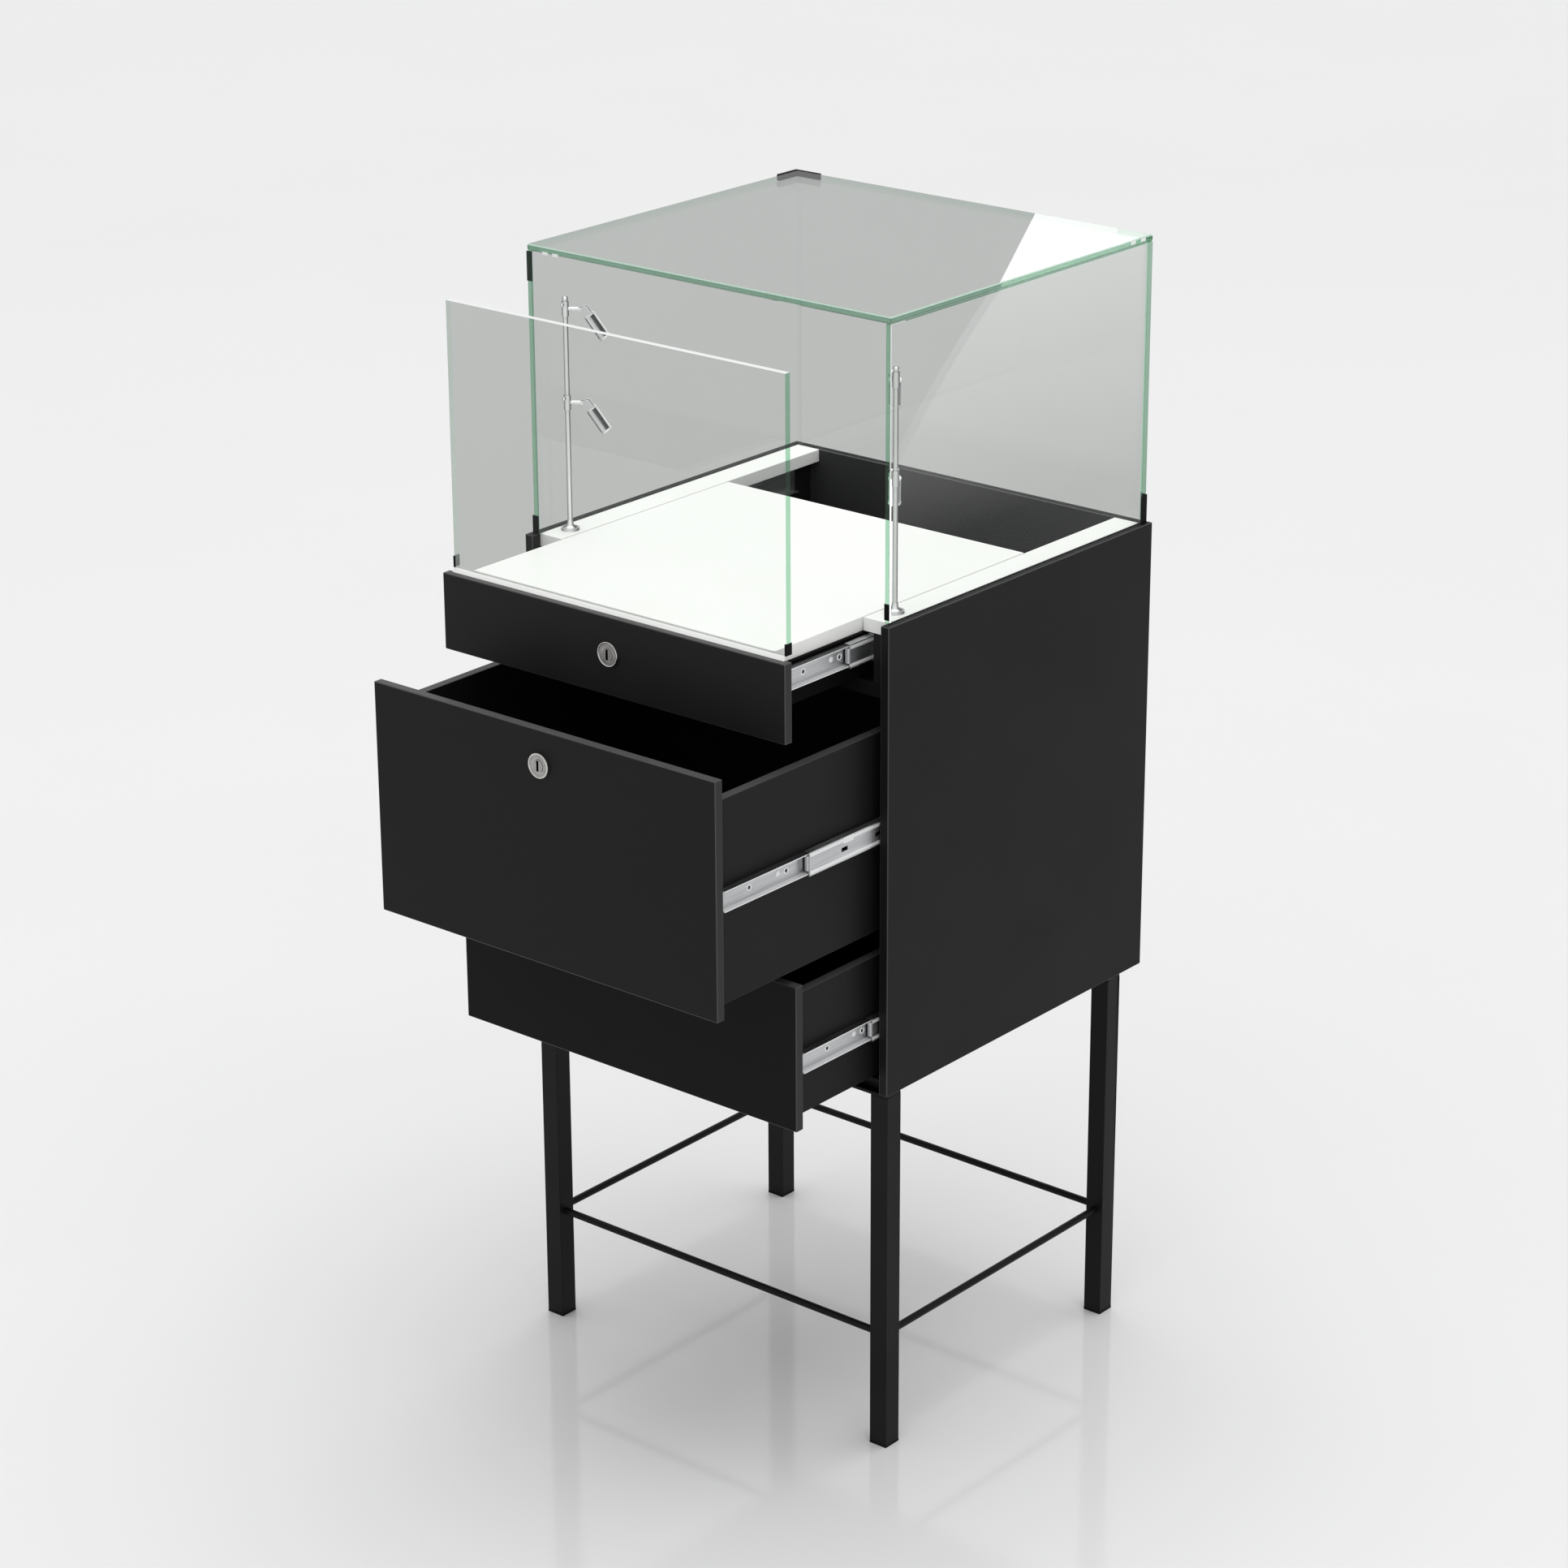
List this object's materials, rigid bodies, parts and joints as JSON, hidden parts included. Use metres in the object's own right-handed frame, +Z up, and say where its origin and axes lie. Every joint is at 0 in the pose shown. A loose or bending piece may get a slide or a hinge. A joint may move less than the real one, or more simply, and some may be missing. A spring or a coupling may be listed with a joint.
{
  "type": "jewelry display case",
  "caption": "Floor-standing jewelry display case: glass box with a sliding display tray over lockable storage drawers, on a slim square-tube leg frame with spot lights.",
  "frame": {"origin": "middle of the four feet, on the floor", "axes": "+Z up, -Y towards the drawer fronts, +X to the right seen from the front"},
  "size_m": [0.556, 0.793, 1.4],
  "materials": {
    "black_board": "black satin paint with a fine grain",
    "white_board": "smooth matte white",
    "clear_glass": "clear float glass with green edges",
    "black_frame": "black powder coat",
    "zinc_steel": "bright zinc plate",
    "lock_metal": "satin nickel",
    "lock_steel": "plain steel",
    "light_chrome": "polished chrome",
    "light_housing": "satin aluminium",
    "light_lens": "frosted lens",
    "foot_plastic": "black matte plastic"
  },
  "bodies": {
    "case": {"left_side_panel": "black_board", "right_side_panel": "black_board", "back_panel": "black_board", "bottom_panel": "black_board", "divider_panel": "black_board", "fillers": "black_board", "rails": "white_board", "leg_front_left": "black_frame", "leg_front_right": "black_frame", "leg_rear_left": "black_frame", "leg_rear_right": "black_frame", "stretchers": "black_frame", "foot_pads": "foot_plastic", "leg_screws": "zinc_steel", "glass_left": "clear_glass", "glass_right": "clear_glass", "glass_back": "clear_glass", "glass_top": "clear_glass", "light_poles": "light_chrome", "pole_bases": "light_chrome", "slide_fixed_members": "zinc_steel"},
    "top_drawer": {"top_front": "black_board", "glass_front": "clear_glass", "tray_deck": "white_board", "tray_sides": "black_board", "tray_rear": "black_board", "top_slide_inner": "zinc_steel", "top_lock_barrel": "lock_metal", "top_lock_nut": "lock_steel"},
    "middle_drawer": {"middle_front": "black_board", "middle_box_sides": "black_board", "middle_box_back": "black_board", "middle_box_floor": "black_board", "middle_slide_inner": "zinc_steel", "middle_lock_barrel": "lock_metal", "middle_lock_nut": "lock_steel"},
    "bottom_drawer": {"bottom_front": "black_board", "bottom_box_sides": "black_board", "bottom_box_back": "black_board", "bottom_box_floor": "black_board", "bottom_slide_inner": "zinc_steel"},
    "top_carriage": {"top_slide_middle": "zinc_steel"},
    "middle_carriage": {"middle_slide_middle": "zinc_steel"},
    "bottom_carriage": {"bottom_slide_middle": "zinc_steel"},
    "top_lock_core": {"top_lock_plug": "lock_metal", "top_lock_cam": "lock_steel"},
    "middle_lock_core": {"middle_lock_plug": "lock_metal", "middle_lock_cam": "lock_steel"},
    "light_arm_left_upper": {"light_arm_left_upper": "light_chrome"},
    "light_head_left_upper": {"light_head_left_upper": "light_housing", "light_lens_left_upper": "light_lens"},
    "light_arm_left_lower": {"light_arm_left_lower": "light_chrome"},
    "light_head_left_lower": {"light_head_left_lower": "light_housing", "light_lens_left_lower": "light_lens"},
    "light_arm_right_upper": {"light_arm_right_upper": "light_chrome"},
    "light_head_right_upper": {"light_head_right_upper": "light_housing", "light_lens_right_upper": "light_lens"},
    "light_arm_right_lower": {"light_arm_right_lower": "light_chrome"},
    "light_head_right_lower": {"light_head_right_lower": "light_housing", "light_lens_right_lower": "light_lens"}
  },
  "joints": [
    {"name": "top_drawer_slide", "type": "slide", "parent": "case", "child": "top_drawer", "axis": [0, -1, 0], "range_m": [-0.16, 0.24]},
    {"name": "top_carriage_slide", "type": "slide", "parent": "case", "child": "top_carriage", "axis": [0, -1, 0], "range_m": [-0.08, 0.12]},
    {"name": "middle_drawer_slide", "type": "slide", "parent": "case", "child": "middle_drawer", "axis": [0, -1, 0], "range_m": [-0.279, 0.121]},
    {"name": "middle_carriage_slide", "type": "slide", "parent": "case", "child": "middle_carriage", "axis": [0, -1, 0], "range_m": [-0.1395, 0.0605]},
    {"name": "bottom_drawer_slide", "type": "slide", "parent": "case", "child": "bottom_drawer", "axis": [0, -1, 0], "range_m": [-0.143, 0.257]},
    {"name": "bottom_carriage_slide", "type": "slide", "parent": "case", "child": "bottom_carriage", "axis": [0, -1, 0], "range_m": [-0.0715, 0.1285]},
    {"name": "top_lock_turn", "type": "hinge", "parent": "top_drawer", "child": "top_lock_core", "pos_m": [0, -0.395, 0.998], "axis": [0, -1, 0], "range_deg": [0, 90]},
    {"name": "middle_lock_turn", "type": "hinge", "parent": "middle_drawer", "child": "middle_lock_core", "pos_m": [0, -0.514, 0.898], "axis": [0, -1, 0], "range_deg": [0, 90]},
    {"name": "arm_swivel_left_upper", "type": "hinge", "parent": "case", "child": "light_arm_left_upper", "pos_m": [-0.2485, -0.187, 1.318], "axis": [0, 0, 1], "range_deg": [-33, 57]},
    {"name": "head_tilt_left_upper", "type": "hinge", "parent": "light_arm_left_upper", "child": "light_head_left_upper", "pos_m": [-0.22837, -0.17393, 1.318], "axis": [-0.5446, 0.8387, 0], "range_deg": [-56, 34]},
    {"name": "arm_swivel_left_lower", "type": "hinge", "parent": "case", "child": "light_arm_left_lower", "pos_m": [-0.2485, -0.187, 1.204], "axis": [0, 0, 1], "range_deg": [-33, 57]},
    {"name": "head_tilt_left_lower", "type": "hinge", "parent": "light_arm_left_lower", "child": "light_head_left_lower", "pos_m": [-0.22837, -0.17393, 1.204], "axis": [-0.5446, 0.8387, 0], "range_deg": [-56, 34]},
    {"name": "arm_swivel_right_upper", "type": "hinge", "parent": "case", "child": "light_arm_right_upper", "pos_m": [0.2485, -0.187, 1.318], "axis": [0, 0, 1], "range_deg": [-40, 50]},
    {"name": "head_tilt_right_upper", "type": "hinge", "parent": "light_arm_right_upper", "child": "light_head_right_upper", "pos_m": [0.23307, -0.16861, 1.318], "axis": [-0.766, -0.6428, 0], "range_deg": [-75, 15]},
    {"name": "arm_swivel_right_lower", "type": "hinge", "parent": "case", "child": "light_arm_right_lower", "pos_m": [0.2485, -0.187, 1.204], "axis": [0, 0, 1], "range_deg": [-40, 50]},
    {"name": "head_tilt_right_lower", "type": "hinge", "parent": "light_arm_right_lower", "child": "light_head_right_lower", "pos_m": [0.23307, -0.16861, 1.204], "axis": [-0.766, -0.6428, 0], "range_deg": [-75, 15]}
  ],
  "couplings": [
    {"joint": "top_carriage_slide", "follows": "top_drawer_slide", "ratio": 0.5},
    {"joint": "middle_carriage_slide", "follows": "middle_drawer_slide", "ratio": 0.5},
    {"joint": "bottom_carriage_slide", "follows": "bottom_drawer_slide", "ratio": 0.5}
  ]
}
